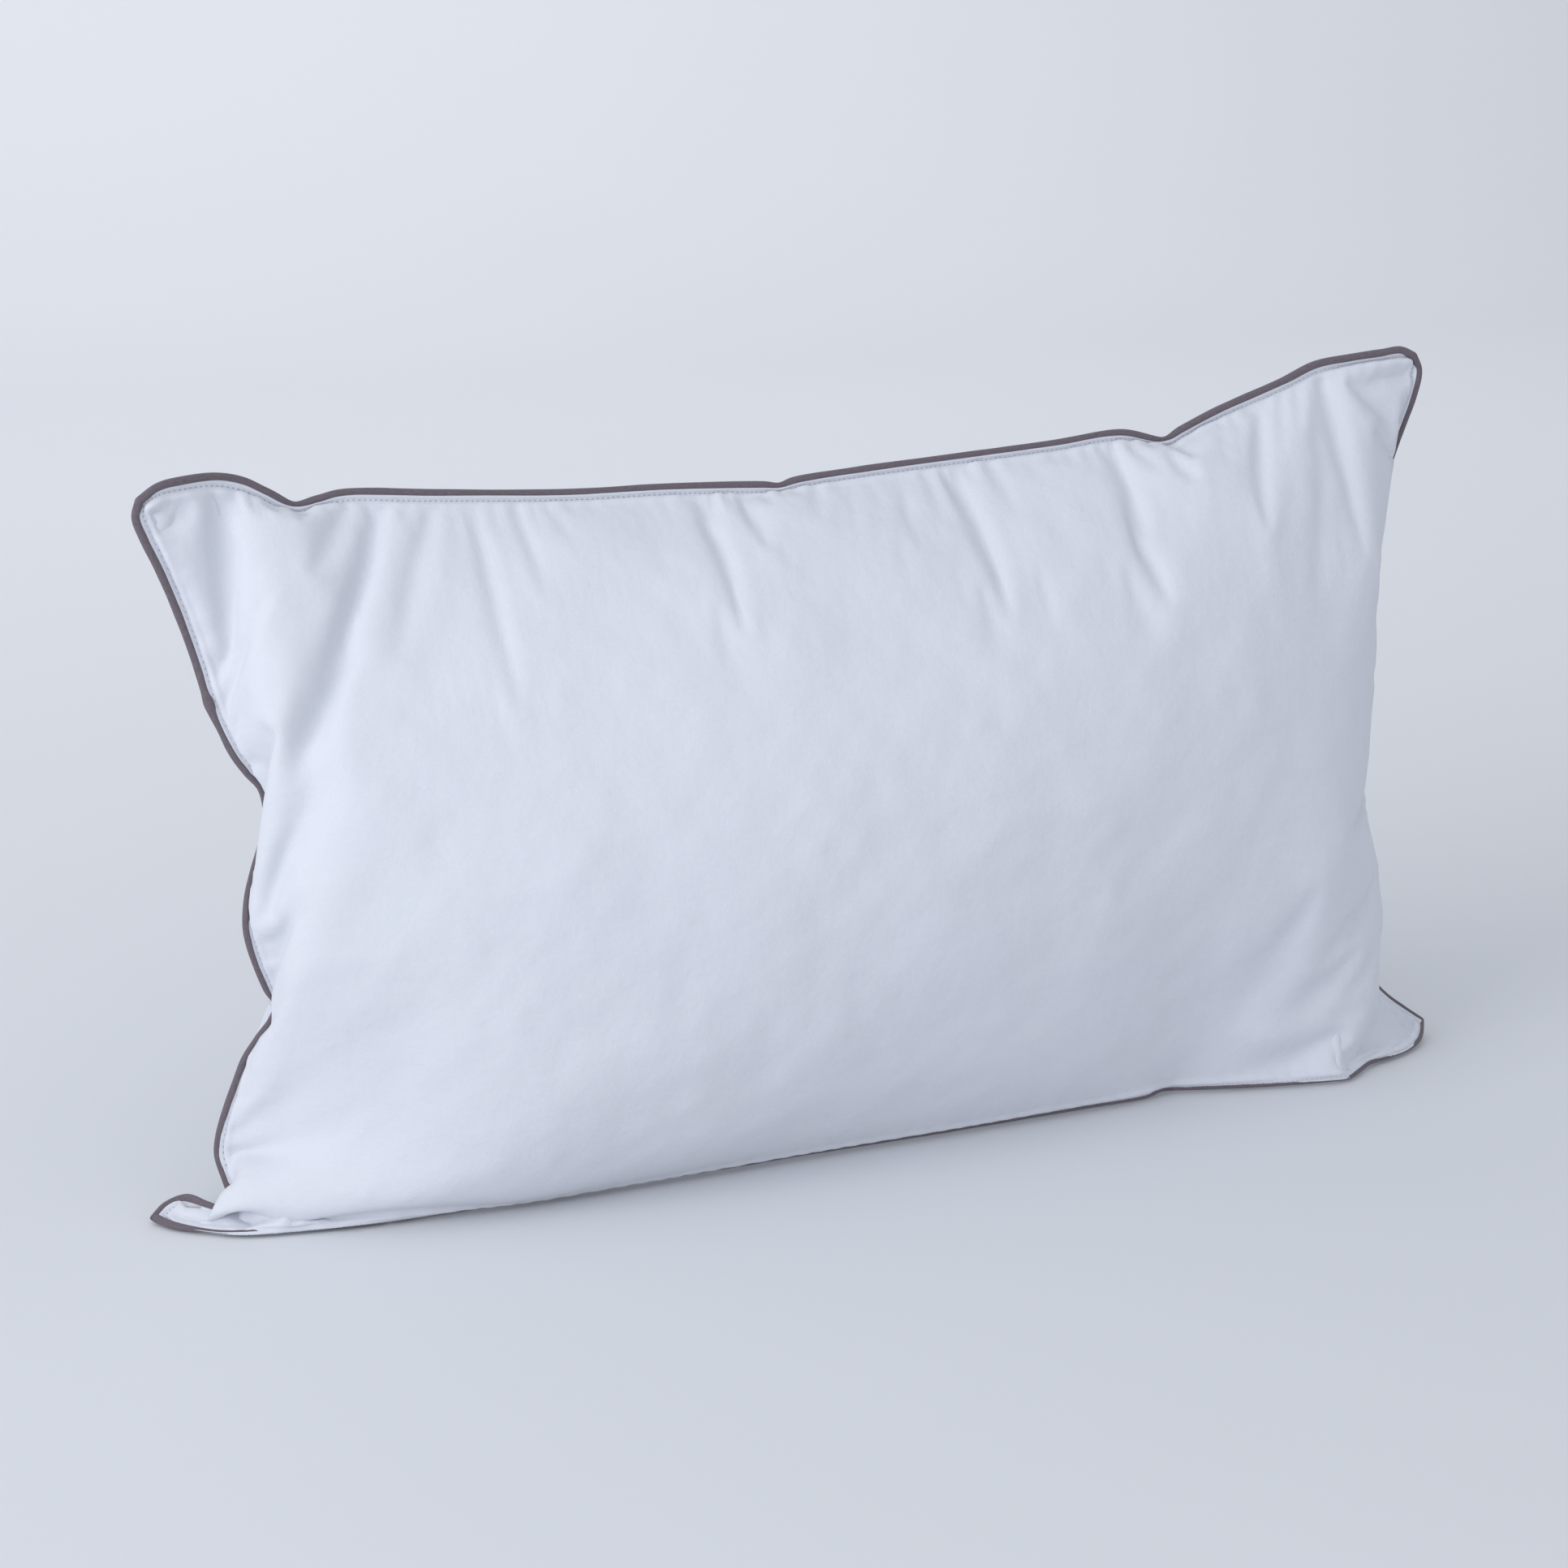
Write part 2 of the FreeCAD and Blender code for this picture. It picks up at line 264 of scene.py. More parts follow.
def grid_faces(ids, flip):
    """Quads over a grid of vertex numbers."""
    a, b, c, d = ids[:-1, :-1], ids[:-1, 1:], ids[1:, 1:], ids[1:, :-1]
    order = (d, c, b, a) if flip else (a, b, c, d)
    return np.stack(order, axis=-1).reshape(-1, 4)


def sewn_grids(nu, nv):
    """Vertex numbers of the front and back grids, which share their edge: the seam."""
    front = np.arange((nu + 1) * (nv + 1)).reshape(nv + 1, nu + 1)
    back = front.copy()
    back[1:-1, 1:-1] = front.size + np.arange((nu - 1) * (nv - 1)).reshape(nv - 1, nu - 1)
    return front, back


def mesh_object(name, points, faces):
    """A mesh from arrays of points and of quads, linked to the scene and shaded smooth."""
    mesh = bpy.data.meshes.new(name)
    mesh.from_pydata([], [], [])
    mesh.vertices.add(len(points))
    mesh.vertices.foreach_set("co", np.asarray(points, np.float32).ravel())
    mesh.loops.add(faces.size)
    mesh.loops.foreach_set("vertex_index", faces.astype(np.int32).ravel())
    mesh.polygons.add(len(faces))
    mesh.polygons.foreach_set("loop_start", np.arange(0, faces.size, faces.shape[1], dtype=np.int32))
    mesh.update(calc_edges=True)
    mesh.validate()
    mesh.shade_smooth()
    obj = bpy.data.objects.new(name, mesh)
    bpy.context.scene.collection.objects.link(obj)
    return obj


# ---------------------------------------------------------------- cloth

START_DEPTH = 0.085       # how far the middle of each sheet stands out before it settles
CLOTH_MASS = 0.4          # kilograms for each square metre of cloth, while it settles
PRESSURE = 14.0
BENDING = 2.5
BENDING_DAMPING = 0.5
TENSION = 15
COMPRESSION = 5
SHEAR = 3
DAMPING = 5
AIR_DAMPING = 2.0
FILL_WEIGHT = 0.004
QUALITY = 5
FLOOR_FRICTION = 30
FLOOR_GAP = 0.001
LOWEST_START = 1.5 * MM
# Each round of settling: cloth cells across, cells up, frames.
LEVELS = [(60, 33, 40), (120, 67, 24), (190, 104, 18)]


def collider():
    """A plain slab under the pillow, there only while the cloth settles on it."""
    corners = [(-1, -1, 0), (1, -1, 0), (1, 1, 0), (-1, 1, 0)]
    floor = mesh_object("settling_floor", corners, np.array([[0, 1, 2, 3]]))
    floor.modifiers.new("Collision", "COLLISION")
    floor.collision.thickness_outer = FLOOR_GAP
    floor.collision.cloth_friction = FLOOR_FRICTION
    return floor


def settle(points, cut_points, faces, pinned, frames):
    """Blender's cloth: the cut panels, held along the seam, swell with their filling and settle."""
    cloth = mesh_object("settling_cloth", points, faces)
    cloth.shape_key_add(name="start")
    flat = cloth.shape_key_add(name="flat")
    flat.data.foreach_set("co", cut_points.astype(np.float32).ravel())
    group = cloth.vertex_groups.new(name="seam")
    group.add([int(i) for i in pinned], 1.0, "REPLACE")
    unchanged = cloth.modifiers.new("Weights", "VERTEX_WEIGHT_EDIT")
    unchanged.vertex_group = "seam"
    modifier = cloth.modifiers.new("Cloth", "CLOTH")
    s = modifier.settings
    s.rest_shape_key = flat
    s.vertex_group_mass = "seam"
    s.quality = QUALITY
    s.mass = CLOTH_MASS * FLAT_LENGTH * FLAT_HEIGHT * 2 / len(points)
    s.tension_stiffness = TENSION
    s.compression_stiffness = COMPRESSION
    s.shear_stiffness = SHEAR
    s.bending_stiffness = BENDING
    s.tension_damping = DAMPING
    s.compression_damping = DAMPING
    s.shear_damping = DAMPING
    s.bending_damping = BENDING_DAMPING
    s.air_damping = AIR_DAMPING
    s.use_pressure = True
    s.uniform_pressure_force = PRESSURE
    s.fluid_density = FILL_WEIGHT
    s.effector_weights.gravity = 1.0
    c = modifier.collision_settings
    c.use_collision = True
    c.distance_min = FLOOR_GAP
    c.use_self_collision = False
    scene = bpy.context.scene
    for frame in range(1, frames + 1):
        scene.frame_set(frame)
    graph = bpy.context.evaluated_depsgraph_get()
    settled = np.empty(len(points) * 3, np.float32)
    cloth.evaluated_get(graph).data.vertices.foreach_get("co", settled)
    scene.frame_set(1)
    bpy.data.objects.remove(cloth)
    return settled.reshape(-1, 3).astype(float)


def cubic_rows(values, places):
    """Smooth values at fractional row numbers of an array."""
    n = len(values) - 1
    base = np.clip(np.floor(places).astype(int), 0, n - 1)
    t = (places - base).reshape((-1,) + (1,) * (values.ndim - 1))
    before = values[np.maximum(base - 1, 0)]
    first, second = values[base], values[base + 1]
    after = values[np.minimum(base + 2, n)]
    before = np.where((base == 0).reshape(t.shape), 2 * first - second, before)
    after = np.where((base == n - 1).reshape(t.shape), 2 * second - first, after)
    smooth = -before + 3 * first - 3 * second + after
    curved = 2 * before - 5 * first + 4 * second - after
    return first + 0.5 * t * ((second - before) + t * (curved + t * smooth))


def resampled(grid, rows, columns):
    """A grid at other row and column places, both as shares from 0 to 1."""
    tall = cubic_rows(grid, np.asarray(rows) * (grid.shape[0] - 1))
    wide = cubic_rows(np.swapaxes(tall, 0, 1), np.asarray(columns) * (grid.shape[1] - 1))
    return np.swapaxes(wide, 0, 1)


def bump_over(places, start, end, fade):
    """1 between two places, falling smoothly to 0 within the fade outside them."""
    rise = np.clip((places - start) / fade + 1.0, 0.0, 1.0)
    fall = np.clip((end - places) / fade + 1.0, 0.0, 1.0)
    return (rise * rise * (3 - 2 * rise)) * (fall * fall * (3 - 2 * fall))


SHEET_CELLS = (900, 470)  # across and up


def tuck_share(inward):
    """How much of the tuck reaches a point this far inside the piping: all of it at the stitch line."""
    return np.where(inward < FLANGE, inward / FLANGE, np.exp(-(inward - FLANGE) / TUCK_REACH))


def seam_sheet():
    """The plain sheet between the piping's four sides, and the flat cut, on a close grid.

    Along the foot and the right side the flange is tucked in, so the cloth hangs over the piping."""
    across, up = SHEET_CELLS
    cut = flat_cut(across, up)
    sheet = start_sheet(cut)
    x = np.linspace(0.0, FLAT_LENGTH, across + 1)[None, :, None]
    y = np.linspace(0.0, FLAT_HEIGHT, up + 1)[:, None, None]
    foot = tuck_share(y) * bump_over(x, *FOOT_TUCK_SPAN)
    along = x / FLAT_LENGTH
    foot_tuck = np.array(FOOT_TUCK_LEFT) * (1.0 - along) + np.array(FOOT_TUCK_RIGHT) * along
    right = tuck_share(FLAT_LENGTH - x) * bump_over(y, *RIGHT_TUCK_SPAN)
    sheet = sheet + foot * foot_tuck * MM + right * np.array(RIGHT_TUCK) * MM
    return sheet, cut


def with_edge(grid, sheet):
    """A settled grid with its edge put back on the stitch line."""
    grid = grid.copy()
    for line in (np.s_[0], np.s_[-1], np.s_[:, 0], np.s_[:, -1]):
        grid[line] = sheet[line]
    return grid


def inner_shares(count, length):
    """Even shares of a side from stitch line to stitch line."""
    return np.linspace(FLANGE / length, 1.0 - FLANGE / length, count + 1)


def settled_sheets():
    """The front and back panels as they come to rest inside the stitch line, as two grids."""
    floor = collider()
    base, base_cut = seam_sheet()
    front = back = None
    for nu, nv, frames in (LEVELS):
        rows, columns = inner_shares(nv, FLAT_HEIGHT), inner_shares(nu, FLAT_LENGTH)
        sheet = resampled(base, rows, columns)
        cut = resampled(base_cut, rows, columns)
        if front is None:
            push = fullness(nu, nv)[..., None] * np.array([0.0, START_DEPTH, 0.0])
            front, back = sheet - push, sheet + push
        else:
            shares = np.linspace(0.0, 1.0, nv + 1), np.linspace(0.0, 1.0, nu + 1)
            front = with_edge(resampled(front, *shares), sheet)
            back = with_edge(resampled(back, *shares), sheet)
        front_ids, back_ids = sewn_grids(nu, nv)
        points = np.zeros((back_ids.max() + 1, 3))
        points[back_ids.ravel()] = back.reshape(-1, 3)
        points[front_ids.ravel()] = front.reshape(-1, 3)
        points[:, 2] = np.maximum(points[:, 2], LOWEST_START)
        flat = np.zeros_like(points)
        flat_grid = np.stack([cut[..., 0], 0 * cut[..., 0], cut[..., 1]], axis=-1)
        flat[back_ids.ravel()] = flat_grid.reshape(-1, 3)
        flat_grid[..., 1] = -FRONT_FULLNESS * fullness(nu, nv) ** 2
        flat[front_ids.ravel()] = flat_grid.reshape(-1, 3)
        faces = np.concatenate([grid_faces(front_ids, False), grid_faces(back_ids, True)])
        edge = np.concatenate([front_ids[0], front_ids[-1], front_ids[:, 0], front_ids[:, -1]])
        points = settle(points, flat, faces, np.unique(edge), frames)
        front, back = points[front_ids], points[back_ids]
    bpy.data.objects.remove(floor)
    return front, back


# ---------------------------------------------------------------- pieces

def line_places(count, length, edge_steps):
    """Places of grid lines as shares: close together beside the seam, even in between."""
    edge = np.cumsum(edge_steps) / length
    inner = np.linspace(edge[-1], 1.0 - edge[-1], count)
    return np.concatenate([[0.0], edge[:-1], inner, (1.0 - edge[:-1])[::-1], [1.0]])


def normals_of(grid, flip):
    """The outward direction at each point of a grid."""
    du = np.gradient(grid, axis=1)
    dv = np.gradient(grid, axis=0)
    n = np.cross(du, dv)
    n /= np.linalg.norm(n, axis=-1, keepdims=True) + 1e-12
    return -n if flip else n


# The first grid lines inside the piping: steps from each to the next.
EDGE_STEPS = np.array([1.0, 0.9, 0.9, 0.9, 0.9, 0.9, 0.6, 0.8, 0.8, 1.0, 1.2, 1.5, 2.0, 2.6]) * MM


def set_uv(obj, name, grid_uv, faces):
    """Writes a UV map from a value for each grid point."""
    layer = obj.data.uv_layers.new(name=name)
    layer.data.foreach_set("uv", grid_uv.reshape(-1, 2)[faces.ravel()].astype(np.float32).ravel())


def seam_loop(step):
    """The whole seam as one closed line of evenly spaced points, from the bottom left ear."""
    sides = [smooth_line(SEAM_BOTTOM), smooth_line(SEAM_RIGHT)]
    sides += [smooth_line(SEAM_TOP)[::-1], smooth_line(SEAM_LEFT)[::-1]]
    line = np.concatenate([s[:-1] for s in sides] + [sides[0][:1]])
    count = int(arc_lengths(line)[-1] / step)
    return at_shares(line, np.linspace(0.0, 1.0, count, endpoint=False))


def closed_tube(name, centre, radius, around, material):
    """A closed tube about a closed line; radius is a number for each point of the line."""
    ahead = np.roll(centre, -1, axis=0) - np.roll(centre, 1, axis=0)
    ahead /= np.linalg.norm(ahead, axis=1, keepdims=True)
    side = np.cross(ahead, np.array([0.0, -1.0, 0.02]))
    side /= np.linalg.norm(side, axis=1, keepdims=True)
    other = np.cross(ahead, side)
    angle = np.arange(around) / around * 2 * math.pi
    ring = side[:, None] * np.cos(angle)[None, :, None] + other[:, None] * np.sin(angle)[None, :, None]
    points = centre[:, None] + ring * np.asarray(radius)[:, None, None]
    n = len(centre)
    i = np.arange(n)[:, None]
    j = np.arange(around)[None, :]
    quad = [i * around + j, i * around + (j + 1) % around]
    quad += [((i + 1) % n) * around + (j + 1) % around, ((i + 1) % n) * around + j]
    faces = np.stack(quad, axis=-1).reshape(-1, 4)[:, ::-1]
    obj = mesh_object(name, points.reshape(-1, 3), faces)
    u = np.stack([i + 0 * j, i + 0 * j, i + 1 + 0 * j, i + 1 + 0 * j], axis=-1)
    v = np.stack([j + 0 * i, j + 1 + 0 * i, j + 1 + 0 * i, j + 0 * i], axis=-1)
    run = arc_lengths(centre)[-1] / (n - 1)
    uv = np.stack([u * run, v * 2 * math.pi * np.median(radius) / around], axis=-1)
    layer = obj.data.uv_layers.new(name="along")
    layer.data.foreach_set("uv", uv.reshape(-1, 4, 2)[:, ::-1].astype(np.float32).ravel())
    obj.data.materials.append(material)
    return obj


# A stitch as a bead: its rings' places along it, their height and width in thread radii.
BEAD_SHARES = [0.0, 0.15, 0.5, 0.85, 1.0]
BEAD_LIFT = [-1.2, 0.35, 0.9, 0.35, -1.2]
BEAD_SWELL = [0.25, 0.9, 1.0, 0.9, 0.25]
BEAD_SIDES = 6


def stitch_meshes(name, starts, ends, normals, radius, material):
    """Short thread stitches, each a small six-sided bead that dips into the cloth at both ends."""
    shares = np.array(BEAD_SHARES)
    lift = np.array(BEAD_LIFT) * radius
    swell = np.array(BEAD_SWELL) * radius
    angle = np.arange(BEAD_SIDES) / BEAD_SIDES * 2 * math.pi
    ahead = ends - starts
    ahead /= np.linalg.norm(ahead, axis=1, keepdims=True) + 1e-12
    across = np.cross(ahead, normals)
    centre = starts[:, None] + (ends - starts)[:, None] * shares[None, :, None]
    centre = centre + normals[:, None] * lift[None, :, None]
    ring = across[:, None, None] * np.cos(angle)[None, None, :, None]
    ring = ring + normals[:, None, None] * np.sin(angle)[None, None, :, None]
    points = centre[:, :, None] + ring * swell[None, :, None, None]
    base = np.arange(len(starts))[:, None, None] * len(shares) * BEAD_SIDES
    low = base + np.arange(len(shares) - 1)[None, :, None] * BEAD_SIDES
    high = low + BEAD_SIDES
    j = np.arange(BEAD_SIDES)[None, None, :]
    nxt = (j + 1) % BEAD_SIDES
    quad = np.stack([low + j, low + nxt, high + nxt, high + j], axis=-1)
    obj = mesh_object(name, points.reshape(-1, 3), quad.reshape(-1, 4)[:, ::-1])
    obj.data.materials.append(material)
    return obj


def grid_lookup(grid, flat_points):
    """Points of a settled grid, and its normals, at places given on the flat cut in metres."""
    rows, columns = grid.shape[:2]
    r = np.clip(flat_points[:, 1] / FLAT_HEIGHT, 0, 1) * (rows - 1)
    c = np.clip(flat_points[:, 0] / FLAT_LENGTH, 0, 1) * (columns - 1)
    r0 = np.minimum(r.astype(int), rows - 2)
    c0 = np.minimum(c.astype(int), columns - 2)
    tr, tc = (r - r0)[:, None], (c - c0)[:, None]
    p00, p01 = grid[r0, c0], grid[r0, c0 + 1]
    p10, p11 = grid[r0 + 1, c0], grid[r0 + 1, c0 + 1]
    points = (p00 * (1 - tc) + p01 * tc) * (1 - tr) + (p10 * (1 - tc) + p11 * tc) * tr
    normal = np.cross(p01 - p00 + p11 - p10, p10 - p00 + p11 - p01)
    normal /= np.linalg.norm(normal, axis=1, keepdims=True) + 1e-12
    return points, normal


def inset_loop(inset, step):
    """Points on the flat cut at a fixed distance inside its edge, evenly spaced all round."""
    r = CORNER_ROUND - inset
    corners = [
        (FLAT_LENGTH - inset - r, inset + r, -90), (FLAT_LENGTH - inset - r, FLAT_HEIGHT - inset - r, 0),
        (inset + r, FLAT_HEIGHT - inset - r, 90), (inset + r, inset + r, 180),
    ]
    line = []
    for x, y, first in corners:
        for degrees in range(first, first + 91, 9):
            a = math.radians(degrees)
            line.append((x + r * math.cos(a), y + r * math.sin(a), 0.0))
    line.append(line[0])
    line = np.array(line)
    count = int(arc_lengths(line)[-1] / step)
    return at_shares(line, np.arange(count) / count)[:, :2]


# ---------------------------------------------------------------- materials

def material(name):
    """A new node material, its node tree and its shader."""
    made = bpy.data.materials.new(name)
    made.use_nodes = True
    return made, made.node_tree, made.node_tree.nodes["Principled BSDF"]


def add(tree, kind, **settings):
    """A new node with its settings."""
    node = tree.nodes.new(kind)
    for key, value in settings.items():
        setattr(node, key, value)
    return node


def noise(tree, coordinates, scale, detail=3.0, roughness=0.5):
    """A noise pattern over the coordinates."""
    node = add(tree, "ShaderNodeTexNoise")
    node.inputs["Scale"].default_value = scale
    node.inputs["Detail"].default_value = detail
    node.inputs["Roughness"].default_value = roughness
    tree.links.new(coordinates, node.inputs["Vector"])
    return node.outputs["Fac"]


def calculate(tree, operation, first, second=None):
    """The result of one sum on sockets or numbers."""
    node = add(tree, "ShaderNodeMath", operation=operation)
    for socket, value in ((node.inputs[0], first), (node.inputs[1], second)):
        if value is None:
            continue
        if isinstance(value, (int, float)):
            socket.default_value = value
        else:
            tree.links.new(value, socket)
    return node.outputs[0]


def bump(tree, height, distance, strength=1.0, after=None):
    """The shading normal raised by a height pattern."""
    node = add(tree, "ShaderNodeBump")
    node.inputs["Distance"].default_value = distance
    node.inputs["Strength"].default_value = strength
    tree.links.new(height, node.inputs["Height"])
    if after is not None:
        tree.links.new(after, node.inputs["Normal"])
    return node.outputs["Normal"]


def colour_between(tree, factor, low, high):
    """A colour between two, by a factor."""
    node = add(tree, "ShaderNodeMix", data_type="RGBA")
    tree.links.new(factor, node.inputs["Factor"])
    node.inputs["A"].default_value = (*low, 1.0)
    node.inputs["B"].default_value = (*high, 1.0)
    return node.outputs["Result"]


def stretched(tree, coordinates, scale):
    """Coordinates scaled by a number for each axis."""
    node = add(tree, "ShaderNodeMapping")
    node.inputs["Scale"].default_value = scale
    tree.links.new(coordinates, node.inputs["Vector"])
    return node.outputs["Vector"]


THREAD_PITCH = 0.42 * MM


# The cotton: its two tints, the painted shade in the needle dents along the stitch line, and its thread
# spacing.
COTTON_BLUE = (0.645, 0.680, 0.732)
COTTON_LILAC = (0.655, 0.668, 0.742)
DENT_SHADE_COLOUR = (0.30, 0.31, 0.38, 1.0)
DENT_SHADE_SHARE = 0.8


def needle_holes(tree):
    """1 where the needle has drawn the cotton down along the stitch line, 0 elsewhere: the dents are both
    sunk and given painted shade.
    """
    edge = add(tree, "ShaderNodeUVMap", uv_map="edge").outputs["UV"]
    split = add(tree, "ShaderNodeSeparateXYZ")
    tree.links.new(edge, split.inputs["Vector"])
    off_line = calculate(tree, "SUBTRACT", split.outputs["Y"], STITCH_INSET)
    distance = calculate(tree, "DIVIDE", calculate(tree, "ABSOLUTE", off_line), HOLE_REACH)
    closeness = calculate(tree, "SUBTRACT", 1.0, distance)
    turns = 2 * math.pi / STITCH_PITCH
    wave = calculate(tree, "SINE", calculate(tree, "MULTIPLY", split.outputs["X"], turns))
    near = calculate(tree, "MAXIMUM", closeness, 0.0)
    dents_and_shade = calculate(tree, "MAXIMUM", wave, 0.0)
    return calculate(tree, "MULTIPLY", near, dents_and_shade)


def cotton():
    """Close-woven white cotton, slightly blue, with a soft sheen, slubs, a faint crumple and painted
    shade in the needle dents.
    """
    made, tree, shader = material("cotton_shell")
    flat = add(tree, "ShaderNodeUVMap", uv_map="flat").outputs["UV"]
    split = add(tree, "ShaderNodeSeparateXYZ")
    tree.links.new(flat, split.inputs["Vector"])
    turns = 2 * math.pi / THREAD_PITCH
    warp = calculate(tree, "SINE", calculate(tree, "MULTIPLY", split.outputs["X"], turns))
    weft = calculate(tree, "SINE", calculate(tree, "MULTIPLY", split.outputs["Y"], turns))
    weave = calculate(tree, "MULTIPLY", warp, weft)
    slub_along = noise(tree, stretched(tree, flat, (90.0, 2200.0, 1.0)), 1.0, 2.0)
    slub_up = noise(tree, stretched(tree, flat, (2200.0, 90.0, 1.0)), 1.0, 2.0)
    slubs = calculate(tree, "ADD", slub_along, slub_up)
    crumple = noise(tree, flat, 55.0, 4.0, 0.55)
    fine = noise(tree, flat, 260.0, 3.0, 0.6)
    normal = bump(tree, crumple, 2.0 * MM, 0.5)
    normal = bump(tree, fine, 0.25 * MM, 0.5, normal)
    normal = bump(tree, slubs, 0.05 * MM, 0.6, normal)
    normal = bump(tree, weave, 0.03 * MM, 0.5, normal)
    holes = needle_holes(tree)
    normal = bump(tree, calculate(tree, "SUBTRACT", 1.0, holes), 0.4 * MM, 0.8, normal)
    tint = colour_between(tree, noise(tree, flat, 7.0, 2.0), COTTON_BLUE, COTTON_LILAC)
    thread_shade = colour_between(tree, slubs, (0.96, 0.96, 0.97), (1.0, 1.0, 1.0))
    mixed = add(tree, "ShaderNodeMix", data_type="RGBA", blend_type="MULTIPLY")
    mixed.inputs["Factor"].default_value = 1.0
    tree.links.new(tint, mixed.inputs["A"])
    tree.links.new(thread_shade, mixed.inputs["B"])
    # Painted shade: the needle dents along the stitch line are darkened in the base colour.
    dents_and_shade = add(tree, "ShaderNodeMix", data_type="RGBA")
    tree.links.new(calculate(tree, "MULTIPLY", holes, DENT_SHADE_SHARE), dents_and_shade.inputs["Factor"])
    tree.links.new(mixed.outputs["Result"], dents_and_shade.inputs["A"])
    dents_and_shade.inputs["B"].default_value = DENT_SHADE_COLOUR
    tree.links.new(dents_and_shade.outputs["Result"], shader.inputs["Base Color"])
    tree.links.new(normal, shader.inputs["Normal"])
    shader.inputs["Roughness"].default_value = 0.78
    shader.inputs["Specular IOR Level"].default_value = 0.25
    shader.inputs["Sheen Weight"].default_value = 0.25
    shader.inputs["Sheen Roughness"].default_value = 0.45
    return made


def piping_fabric():
    """Mauve-grey bias-cut binding: fine slanting ribs with painted shade in the grooves between them, and
    a random mottle.
    """
    made, tree, shader = material("piping_fabric")
    along = add(tree, "ShaderNodeUVMap", uv_map="along").outputs["UV"]
    split = add(tree, "ShaderNodeSeparateXYZ")
    tree.links.new(along, split.inputs["Vector"])
    slant = calculate(tree, "ADD", split.outputs["X"], split.outputs["Y"])
    counter = calculate(tree, "SUBTRACT", split.outputs["X"], split.outputs["Y"])
    turns = 2 * math.pi / (0.9 * MM)
    ribs = calculate(tree, "SINE", calculate(tree, "MULTIPLY", slant, turns))
    cross = calculate(tree, "SINE", calculate(tree, "MULTIPLY", counter, turns * 1.6))
    cloth = calculate(tree, "ADD", ribs, calculate(tree, "MULTIPLY", cross, 0.5))
    mottle = noise(tree, stretched(tree, along, (350.0, 900.0, 1.0)), 1.0, 3.0, 0.6)
    normal = bump(tree, mottle, 0.25 * MM, 0.6)
    normal = bump(tree, cloth, 0.09 * MM, 0.8, normal)
    # Painted shade: the colour is a little darker where the ribs dip, in the grooves between them.
    shade = calculate(tree, "MULTIPLY_ADD", ribs, 0.16)
    shade.node.inputs[2].default_value = 0.0
    factor = calculate(tree, "ADD", shade, mottle)
    colour = colour_between(tree, factor, (0.092, 0.078, 0.094), (0.225, 0.192, 0.222))
    tree.links.new(colour, shader.inputs["Base Color"])
    tree.links.new(normal, shader.inputs["Normal"])
    shader.inputs["Roughness"].default_value = 0.85
    shader.inputs["Specular IOR Level"].default_value = 0.2
    shader.inputs["Sheen Weight"].default_value = 0.15
    shader.inputs["Sheen Roughness"].default_value = 0.4
    return made


def yarn(name, light, dark, scale):
    """Spun yarn: fine fibres, with painted shade that makes them darker in the hollows of the twist."""
    made, tree, shader = material(name)
    place = add(tree, "ShaderNodeTexCoord").outputs["Object"]
    fibres = noise(tree, place, scale, 3.0, 0.6)
    # Painted shade: the colour follows the same noise as the bump, darker where the bump sinks.
    tree.links.new(colour_between(tree, fibres, dark, light), shader.inputs["Base Color"])
    tree.links.new(bump(tree, fibres, 0.1 * MM, 0.5), shader.inputs["Normal"])
    shader.inputs["Roughness"].default_value = 0.7
    shader.inputs["Specular IOR Level"].default_value = 0.3
    return made


def label_ribbon():
    """A blank satin ribbon label: smooth, with fine ribs across it."""
    made, tree, shader = material("label_ribbon")
    place = add(tree, "ShaderNodeTexCoord").outputs["Object"]
    ribs = noise(tree, stretched(tree, place, (300.0, 300.0, 3000.0)), 1.0, 2.0)
    colour = colour_between(tree, ribs, (0.72, 0.74, 0.78), (0.82, 0.84, 0.87))
    tree.links.new(colour, shader.inputs["Base Color"])
    tree.links.new(bump(tree, ribs, 0.05 * MM, 0.5), shader.inputs["Normal"])
    shader.inputs["Roughness"].default_value = 0.45
    return made


def backdrop_paper():
    """Plain pale paper, very slightly uneven in tone."""
    made, tree, shader = material("backdrop_paper")
    place = add(tree, "ShaderNodeTexCoord").outputs["Object"]
    uneven = noise(tree, place, 0.8, 2.0)
    colour = colour_between(tree, uneven, (0.700, 0.718, 0.750), (0.720, 0.738, 0.765))
    tree.links.new(colour, shader.inputs["Base Color"])
    grain = noise(tree, place, 900.0, 2.0)
    tree.links.new(bump(tree, grain, 0.05 * MM, 0.2), shader.inputs["Normal"])
    shader.inputs["Roughness"].default_value = 0.8
    shader.inputs["Specular IOR Level"].default_value = 0.15
    return made


# ---------------------------------------------------------------- stage and light

FLOOR_HALF_WIDTH = 9.0
FLOOR_FRONT = -9.0
SWEEP_START = 3.2         # where the floor begins to curve up, behind the pillow
SWEEP_RADIUS = 2.5
SWEEP_STEPS = 24
WALL_HEIGHT = 6.0
FLOOR_LINES = 3           # lines of points across the floor's width


